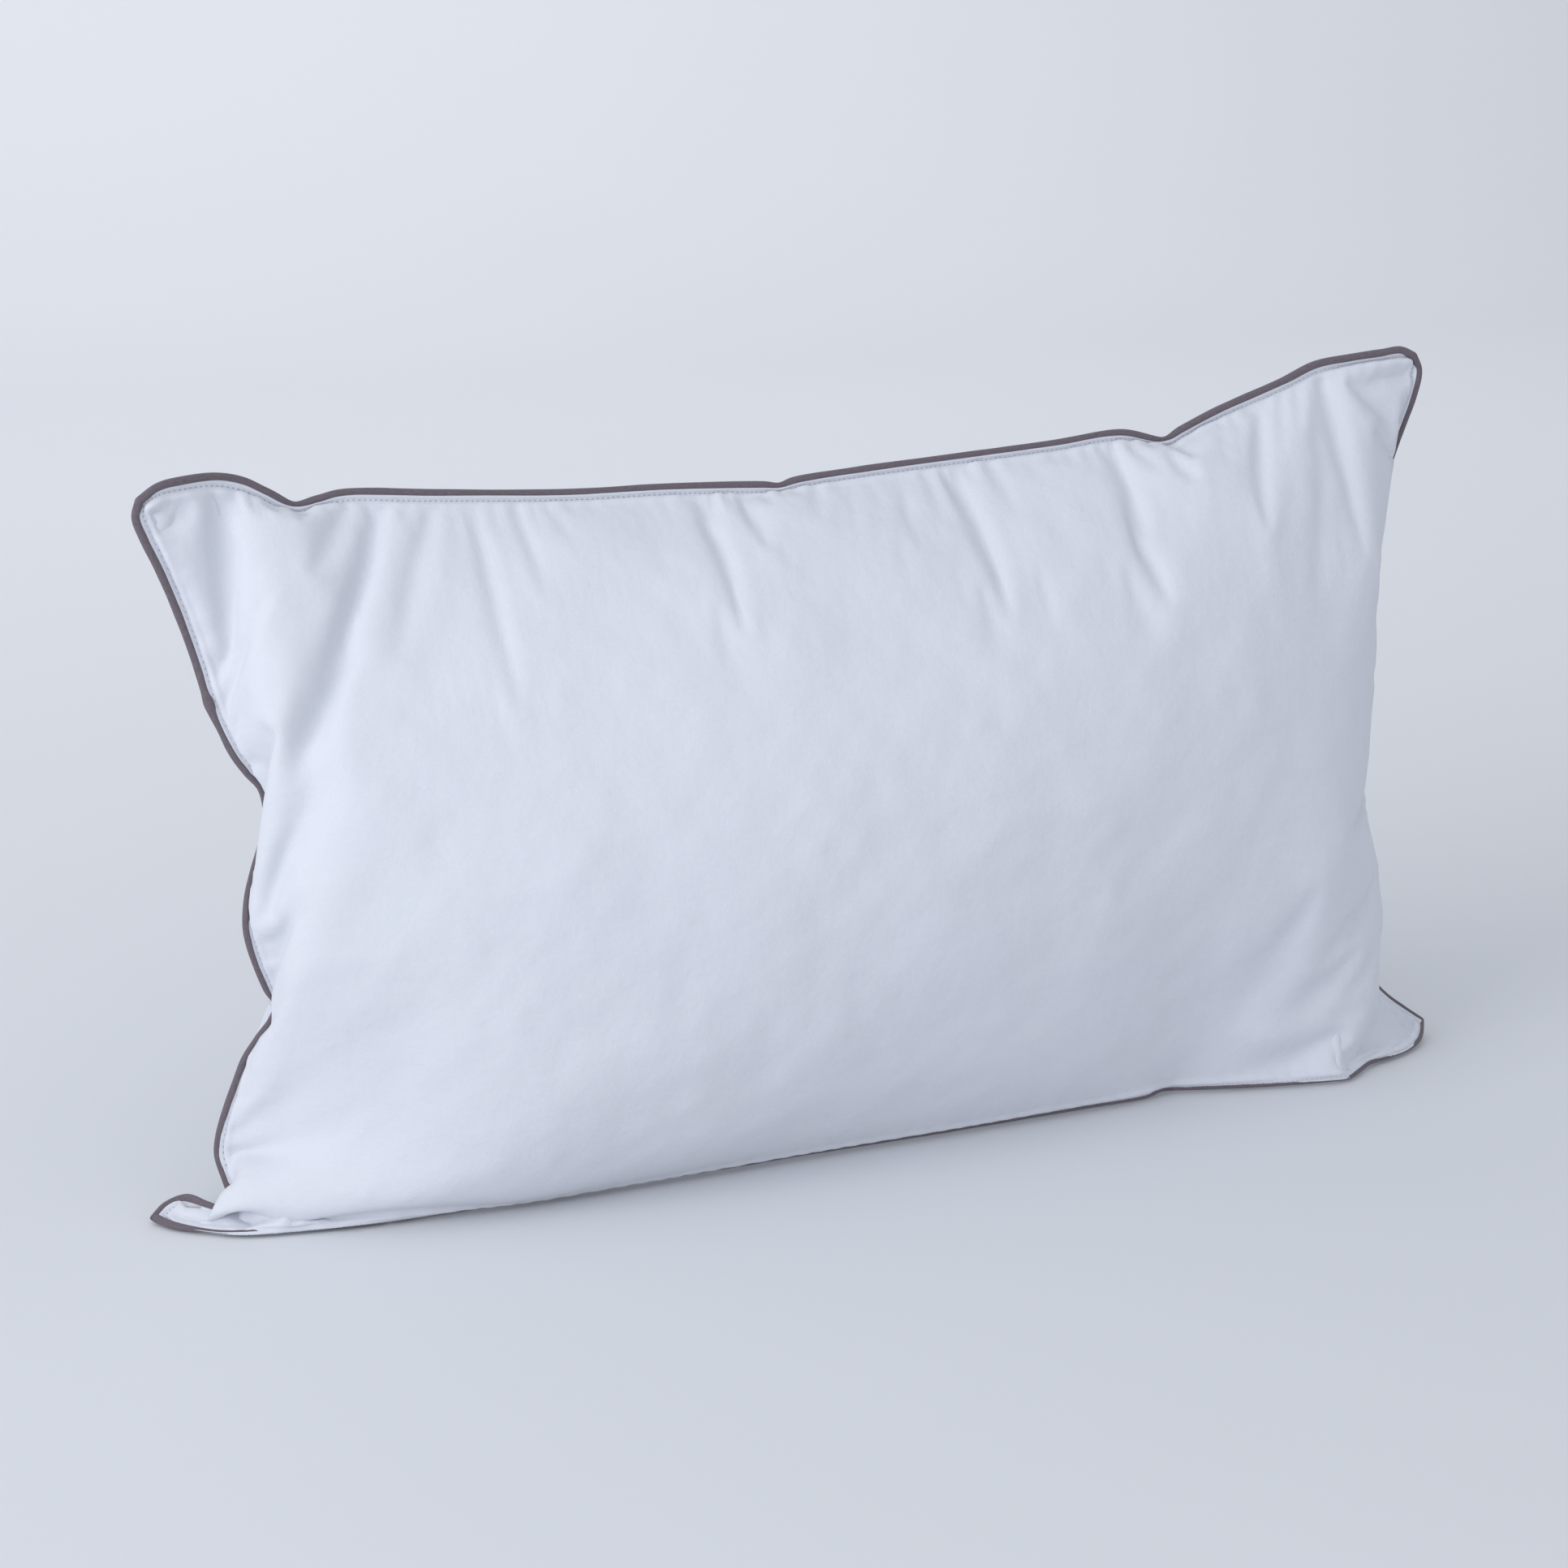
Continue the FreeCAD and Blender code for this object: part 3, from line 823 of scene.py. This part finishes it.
def backdrop():
    """A floor that sweeps up into a wall far behind the pillow, and pale ground all round."""
    profile = [(FLOOR_FRONT, 0.0), (0.0, 0.0)]
    for k in range(SWEEP_STEPS + 1):
        a = math.radians(90.0 * k / SWEEP_STEPS)
        profile.append((SWEEP_START + SWEEP_RADIUS * math.sin(a), SWEEP_RADIUS * (1 - math.cos(a))))
    profile.append((SWEEP_START + SWEEP_RADIUS, WALL_HEIGHT))
    line = np.array(profile)
    across = np.linspace(-FLOOR_HALF_WIDTH, FLOOR_HALF_WIDTH, FLOOR_LINES)
    back, up = np.tile(line[:, 0], FLOOR_LINES), np.tile(line[:, 1], FLOOR_LINES)
    points = np.stack([np.repeat(across, len(line)), back, up], axis=-1)
    ids = np.arange(len(points)).reshape(FLOOR_LINES, len(line))
    sweep = mesh_object("backdrop", points, grid_faces(ids, False))
    sweep.data.materials.append(backdrop_paper())
    return sweep


SKY_COLOUR = (0.88, 0.92, 0.99, 1.0)
SKY_POWER = 0.64
PILLOW_MIDDLE = (0.0, 0.0, 0.2)
# Each softbox: name, place, what it points at, size, watts, colour.
SOFTBOXES = [
    ("key", (-3.5, -1.35, 1.55), PILLOW_MIDDLE, (2.3, 2.0), 73.0, (0.98, 0.98, 1.0)),
    ("top", (-0.7, -1.0, 3.0), (0.0, -0.4, 0.0), (2.4, 2.4), 13.0, (0.98, 0.98, 1.0)),
    ("fill", (0.4, -3.0, 0.35), (0.0, 0.0, 0.0), (3.0, 0.6), 13.5, (0.98, 0.97, 1.0)),
    ("wall", (-0.4, 0.8, 4.8), (0.8, 6.0, 4.0), (4.0, 2.0), 172.0, (1.0, 0.98, 0.99)),
]


def softbox(name, place, target, size, power, colour):
    """A large soft lamp."""
    data = bpy.data.lights.new(name, "AREA")
    data.shape = "RECTANGLE"
    data.size, data.size_y = size
    data.energy = power
    data.color = colour
    lamp = bpy.data.objects.new(name, data)
    lamp.location = place
    aim = Vector(target) - Vector(place)
    lamp.rotation_mode = "QUATERNION"
    lamp.rotation_quaternion = aim.to_track_quat("-Z", "Y")
    bpy.context.scene.collection.objects.link(lamp)
    return lamp


def lights():
    """Soft studio light: pale surroundings and the softboxes."""
    world = bpy.data.worlds.new("studio")
    world.use_nodes = True
    sky = world.node_tree.nodes["Background"]
    sky.inputs["Color"].default_value = SKY_COLOUR
    sky.inputs["Strength"].default_value = SKY_POWER
    bpy.context.scene.world = world
    for facts in SOFTBOXES:
        softbox(*facts)
    bpy.context.scene.view_settings.view_transform = "Standard"


# ---------------------------------------------------------------- the pillow

PIPING_RADIUS = 2.5 * MM
CORD_RADIUS = 1.7 * MM
STITCH_INSET = 5.9 * MM
STITCH_PITCH = 3.4 * MM
STITCH_LENGTH = 2.5 * MM
HOLE_REACH = 0.7 * MM
STITCH_RADIUS = 0.24 * MM
STITCH_SUNK = 0.35 * MM
# Smooth patches of the front panel: place on the flat cut, half sizes, smoothing rounds.
CALM_PATCHES = [
    ((0.20, 0.11), (0.13, 0.075), 90), ((0.50, 0.22), (0.22, 0.10), 40), ((0.48, 0.06), (0.24, 0.05), 60),
    ((0.085, 0.27), (0.04, 0.06), 8),
]


def calmed(grid):
    """Lets the middle of the front panel lie smooth, as a full pillow does away from its seams."""
    rows, columns = grid.shape[:2]
    x = np.linspace(0.0, FLAT_LENGTH, columns)[None, :]
    y = np.linspace(0.0, FLAT_HEIGHT, rows)[:, None]
    for (cx, cy), (rx, ry), rounds in CALM_PATCHES:
        mask = np.exp(-(((x - cx) / rx) ** 4 + ((y - cy) / ry) ** 4))[1:-1, 1:-1, None]
        for _ in range(rounds):
            mean = (grid[:-2, 1:-1] + grid[2:, 1:-1] + grid[1:-1, :-2] + grid[1:-1, 2:]) / 4
            grid[1:-1, 1:-1] += (mean - grid[1:-1, 1:-1]) * mask
    return grid


FINE_COLUMNS = 280
FINE_ROWS = 150
PANEL_FLOOR_GAP = 0.6 * MM
WELT_FLOOR_GAP = 0.4 * MM
FRONT_SEED = 5


def fine_sheets():
    """The settled panels, out to the piping, on a finer grid that is close-meshed at the seam."""
    front, back = settled_sheets()
    front = calmed(front)
    columns = line_places(FINE_COLUMNS, FLAT_LENGTH, EDGE_STEPS)
    rows = line_places(FINE_ROWS, FLAT_HEIGHT, EDGE_STEPS)
    base, base_cut = seam_sheet()
    sheet = resampled(base, rows, columns)
    cut = resampled(base_cut, rows, columns)
    edges = edge_map(rows, columns)
    inside = edges[..., 1] > FLANGE
    inner_rows = (rows * FLAT_HEIGHT - FLANGE) / (FLAT_HEIGHT - 2 * FLANGE)
    inner_columns = (columns * FLAT_LENGTH - FLANGE) / (FLAT_LENGTH - 2 * FLANGE)
    panels = []
    for grid in (front, back):
        inner = resampled(grid, np.clip(inner_rows, 0, 1), np.clip(inner_columns, 0, 1))
        panel = np.where(inside[..., None], inner, sheet)
        flip = grid is back
        panel = panel + normals_of(panel, flip) * down_lumps(rows, columns, edges, FRONT_SEED + flip)
        panel[..., 2] = np.maximum(panel[..., 2], PANEL_FLOOR_GAP)
        panels.append(panel)
    return panels[0], panels[1], cut, edges, rows, columns


def edge_map(rows, columns):
    """For each grid point: its place along the nearest edge and its distance from that edge."""
    x = (columns * FLAT_LENGTH)[None, :] + 0 * rows[:, None]
    y = (rows * FLAT_HEIGHT)[:, None] + 0 * columns[None, :]
    from_side = np.minimum(x, FLAT_LENGTH - x)
    from_end = np.minimum(y, FLAT_HEIGHT - y)
    along = np.where(from_side < from_end, y, x)
    return np.stack([along, np.minimum(from_side, from_end)], axis=-1)


# The small puckers that the stitching leaves in the cotton, in millimetres.
PUCKER_LENGTH = 13.5
PUCKER_DRIFT = 17.0
PUCKER_SHIFT = 2.0
PUCKER_HEIGHT = 0.3
PUCKER_PLACE = 12.0
PUCKER_REACH = 6.0
# The flange's thickness, the stitched groove and the roll beside it: height, place and half
# width in millimetres. The welt is placed from the piping, the other two from the stitch line.
WELT = (1.5, 2.9, 1.6)
GROOVE = (-0.5, 0.0, 0.9)
ROLL = (1.4, 3.2, 2.0)


def ridge(places, height, middle, half_width):
    """A smooth ridge of this height."""
    return height * np.exp(-(((places - middle) / half_width) ** 2))


# How the down lifts the cotton unevenly: cells across and up, and the height of the lumps.
LUMPS = [((24, 13), 1.5 * MM), ((62, 33), 0.45 * MM)]
LUMPS_FADE = 0.05         # the lumps die away this near the seam


def down_lumps(rows, columns, edges, seed):
    """How far the filling lifts each grid point of a panel."""
    rng = np.random.RandomState(seed)
    lift = np.zeros((len(rows), len(columns), 1))
    for (across, up), height in LUMPS:
        cells = rng.uniform(-1.0, 1.0, (up, across, 1))
        lift = lift + resampled(cells, rows, columns) * height
    return lift * np.clip(edges[..., 1:] / LUMPS_FADE, 0.0, 1.0) ** 2


def welted(grid, edges, flip):
    """Gives the flange beside the piping its thickness, and sinks the stitched groove."""
    d = edges[..., 1] / MM
    line = FLANGE / MM
    welt = ridge(d, *WELT)
    groove = ridge(d - line, *GROOVE)
    roll = ridge(d - line, *ROLL)
    along = edges[..., 0] / MM
    ripple = np.sin(along / PUCKER_LENGTH * 2 * np.pi + PUCKER_SHIFT * np.sin(along / PUCKER_DRIFT))
    pucker = (1.0 + ripple) * ridge(d, PUCKER_HEIGHT, PUCKER_PLACE, PUCKER_REACH)
    raised = grid + normals_of(grid, flip) * ((welt + groove + roll + pucker) * MM)[..., None]
    raised[..., 2] = np.maximum(raised[..., 2], WELT_FLOOR_GAP)
    return raised


def panel_piece(name, grid, cut, edges, flip, made):
    """One cotton panel, with its flat cut and its distance from the seam as UV maps."""
    ids = np.arange(grid.shape[0] * grid.shape[1]).reshape(grid.shape[:2])
    faces = grid_faces(ids, flip)
    obj = mesh_object(name, welted(grid, edges, flip).reshape(-1, 3), faces)
    set_uv(obj, "flat", cut, faces)
    set_uv(obj, "edge", edges, faces)
    obj.data.materials.append(made)
    return obj


# Where the piping is thinner or thicker than elsewhere: place in millimetres, reach, share.
PIPING_CHANGES = [
    ((-354, 8, 131), 7, -0.45), ((-323, 43, 419), 6, -0.30), ((226, 46, 425), 6, -0.35),
    ((-30, 45, 411.5), 5, -0.20), ((-380, 23, 312), 5, 0.28), ((-374, 19, 296), 7, -0.22),
    ((-170, 45, 416), 120, -0.22), ((110, 45, 424), 120, -0.22), ((-400, -12, 3), 20, -0.55),
    ((-355, -26, 4), 28, -0.45), ((345, -20, 4), 40, -0.25), ((402, 8, 4), 18, -0.35),
]
PIPING_WOBBLE = 0.05      # share by which its thickness varies
WOBBLE_POINTS = 12        # points of the line from one variation to the next
PIPING_STEP = 1.0 * MM
CORD_STEP = 3.0 * MM
PIPING_SIDES = 14
CORD_SIDES = 8


def piping_radii(line):
    """The piping's thickness along the seam: slightly uneven, thin where it folds, thick at its joint."""
    rng = np.random.RandomState(4)
    knots = rng.uniform(-1.0, 1.0, len(line) // WOBBLE_POINTS)
    wobble = np.interp(np.arange(len(line)), np.arange(len(knots)) * WOBBLE_POINTS, knots)
    radii = PIPING_RADIUS * (1.0 + PIPING_WOBBLE * wobble)
    for place, reach, change in PIPING_CHANGES:
        distance = np.linalg.norm(line - np.array(place) * MM, axis=1) / MM
        radii *= 1.0 + change * np.exp(-((distance / reach) ** 2))
    return radii


def piping(binding_made, cord_made):
    """The piping all the way round the seam, and the cord inside it."""
    line = seam_loop(PIPING_STEP)
    binding = closed_tube("piping_binding", line, piping_radii(line), PIPING_SIDES, binding_made)
    coarse = seam_loop(CORD_STEP)
    cord_radii = piping_radii(coarse) * CORD_RADIUS / PIPING_RADIUS
    cord = closed_tube("piping_core", coarse, cord_radii, CORD_SIDES, cord_made)
    return binding, cord


def joined(first, second, name):
    """Two meshes made into one piece."""
    bpy.ops.object.select_all(action="DESELECT")
    first.select_set(True)
    second.select_set(True)
    bpy.context.view_layer.objects.active = first
    bpy.ops.object.join()
    first.name = name
    return first


def seam_stitches(front, back, made):
    """The machine stitches that hold the piping, seen as short dashes on both panels."""
    starts = inset_loop(STITCH_INSET, STITCH_PITCH)
    ends = starts + (np.roll(starts, -1, axis=0) - starts) * (STITCH_LENGTH / STITCH_PITCH)
    pair = []
    for name, grid, side in (("stitches_front", front, 1.0), ("stitches_back", back, -1.0)):
        first, normal = grid_lookup(grid, starts)
        last, _ = grid_lookup(grid, ends)
        sunk = STITCH_SUNK * side * normal
        pair.append(stitch_meshes(name, first - sunk, last - sunk, side * normal, STITCH_RADIUS, made))
    return joined(pair[0], pair[1], "seam_stitches")


# The closing stitches: shares of the panel's height from, to and between them, how far inside
# the edge they start, how unevenly, how far each reaches in and up, and their thickness.
CLOSING_RUN = (0.22, 0.72, 0.0115)
CLOSING_INSET = 3.2 * MM
CLOSING_UNEVEN = 0.6
CLOSING_IN = (-4.6, -3.8)
CLOSING_UP = (1.6, 2.4)
CLOSING_RADIUS = 0.33 * MM


def closing_stitches(back, made):
    """The hand-sewn opening at the right side: slanted stitches, a little uneven."""
    rng = np.random.RandomState(7)
    y = np.arange(*CLOSING_RUN) * FLAT_HEIGHT
    y = y + rng.uniform(-CLOSING_UNEVEN, CLOSING_UNEVEN, len(y)) * MM
    starts = np.stack([np.full(len(y), FLAT_LENGTH - CLOSING_INSET), y], axis=-1)
    inward = rng.uniform(*CLOSING_IN, len(y))
    upward = rng.uniform(*CLOSING_UP, len(y))
    ends = starts + np.stack([inward, upward], axis=-1) * MM
    first, normal = grid_lookup(back, starts)
    last, _ = grid_lookup(back, ends)
    return stitch_meshes("closing_stitches", first, last, -normal, CLOSING_RADIUS, made)


def slab_between(name, under, over, made):
    """A closed thin piece between two grids of points."""
    rows, columns = under.shape[:2]
    ids = np.arange(rows * columns).reshape(rows, columns)
    low, high = ids, ids + rows * columns
    rim = np.concatenate([low[0, :-1], low[:-1, -1], low[-1, :0:-1], low[:0:-1, 0]])
    after = np.roll(rim, -1)
    sides = np.stack([rim, after, after + rows * columns, rim + rows * columns], axis=-1)
    faces = np.concatenate([grid_faces(low, True), grid_faces(high, False), sides])
    obj = mesh_object(name, np.concatenate([under.reshape(-1, 3), over.reshape(-1, 3)]), faces)
    obj.data.materials.append(made)
    return obj


# The label: the shares of the back panel it lies over, from the seam down, and its grid.
LABEL_ACROSS = (0.800, 0.826)
LABEL_DOWN = (0.993, 0.900)
LABEL_COLUMNS = 9
LABEL_ROWS = 17
LABEL_THICKNESS = 0.4 * MM


def care_label(back, made):
    """A blank ribbon label sewn into the top seam behind the right ear, its end curling away."""
    x = np.linspace(*LABEL_ACROSS, LABEL_COLUMNS) * FLAT_LENGTH
    y = np.linspace(*LABEL_DOWN, LABEL_ROWS) * FLAT_HEIGHT
    places = np.stack(np.meshgrid(x, y), axis=-1)
    points, normal = grid_lookup(back, places.reshape(-1, 2))
    points = points.reshape(LABEL_ROWS, LABEL_COLUMNS, 3)
    normal = -normal.reshape(LABEL_ROWS, LABEL_COLUMNS, 3)
    fall = np.linspace(0.0, 1.0, LABEL_ROWS)[:, None, None]
    lift = (1.1 + 4.0 * fall**3 + 0.8 * np.sin(6.0 * fall)) * MM
    under = points + normal * lift
    over = under + normal * LABEL_THICKNESS
    return slab_between("care_label", under[::-1], over[::-1], made)


# The filling's body: the shares of the panels it fills, its grid, its gap to the cotton in
# millimetres, its lumps, and the least share of its thickness that stays.
DOWN_UP = (0.12, 0.94)
DOWN_ACROSS = (0.09, 0.895)
DOWN_ROWS = 60
DOWN_COLUMNS = 110
DOWN_GAP = 14.0
DOWN_LUMPS = 1.5
DOWN_LEAST = 0.02


def down_body(front, back, made):
    """The down filling: a lumpy closed body just inside the cotton."""
    rows = np.linspace(*DOWN_UP, DOWN_ROWS)
    columns = np.linspace(*DOWN_ACROSS, DOWN_COLUMNS)
    parts = [resampled(grid, rows, columns) for grid in (front, back)]
    middle = (parts[0] + parts[1]) / 2
    rng = np.random.RandomState(11)
    lumps = rng.uniform(0.0, DOWN_LUMPS, parts[0].shape[:2] + (1,))
    for k, part in enumerate(parts):
        half = np.linalg.norm(part - middle, axis=-1, keepdims=True) / MM
        kept = np.clip((half - DOWN_GAP - lumps) / np.maximum(half, 1.0), DOWN_LEAST, 1.0)
        parts[k] = middle + (part - middle) * kept
        parts[k][[0, -1]] = middle[[0, -1]]
        parts[k][:, [0, -1]] = middle[:, [0, -1]]
    front_ids, back_ids = sewn_grids(DOWN_COLUMNS - 1, DOWN_ROWS - 1)
    points = np.zeros((back_ids.max() + 1, 3))
    points[back_ids.ravel()] = parts[1].reshape(-1, 3)
    points[front_ids.ravel()] = parts[0].reshape(-1, 3)
    faces = np.concatenate([grid_faces(front_ids, False), grid_faces(back_ids, True)])
    obj = mesh_object("down_filling", points, faces)
    obj.data.materials.append(made)
    return obj


def at_even(grid, rows, columns, new_rows, new_columns):
    """A grid with uneven lines, read at other shares of its height and length."""
    r = np.interp(new_rows, rows, np.linspace(0.0, 1.0, len(rows)))
    c = np.interp(new_columns, columns, np.linspace(0.0, 1.0, len(columns)))
    return resampled(grid, r, c)


EVEN_ROWS = 151
EVEN_COLUMNS = 276


def build_pillow():
    """Every piece of the pillow, each with the CAD nodes that it stands for and its finish."""
    front, back, cut, edges, rows, columns = fine_sheets()
    shell = cotton()
    thread = yarn("sewing_thread", (0.80, 0.82, 0.86), (0.50, 0.51, 0.56), 1500.0)
    core = yarn("cotton_cord", (0.72, 0.70, 0.64), (0.50, 0.48, 0.42), 700.0)
    down = yarn("down", (0.86, 0.85, 0.82), (0.66, 0.65, 0.62), 260.0)
    binding, cord = piping(piping_fabric(), core)
    even = (np.linspace(0.0, 1.0, EVEN_ROWS), np.linspace(0.0, 1.0, EVEN_COLUMNS))
    front_even = at_even(front, rows, columns, *even)
    back_even = at_even(back, rows, columns, *even)
    pieces = [
        (panel_piece("front_cotton", front, cut, edges, False, shell), "cotton_shell", "front_panel"),
        (panel_piece("back_cotton", back, cut, edges, True, shell), "cotton_shell", "back_panel"),
        (binding, "piping_fabric", "piping_cover"),
        (cord, "cotton_cord", "piping_cord"),
        (seam_stitches(front_even, back_even, thread), "sewing_thread", "seam_thread"),
        (closing_stitches(back_even, thread), "sewing_thread", "closing_thread"),
        (care_label(back_even, label_ribbon()), "label_ribbon", "care_label"),
        (down_body(front_even, back_even, down), "down", "down_fill"),
    ]
    for piece, slot, node in pieces:
        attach(piece, "root")
        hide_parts(node)


camera()
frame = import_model()
build_pillow()
backdrop()
lights()
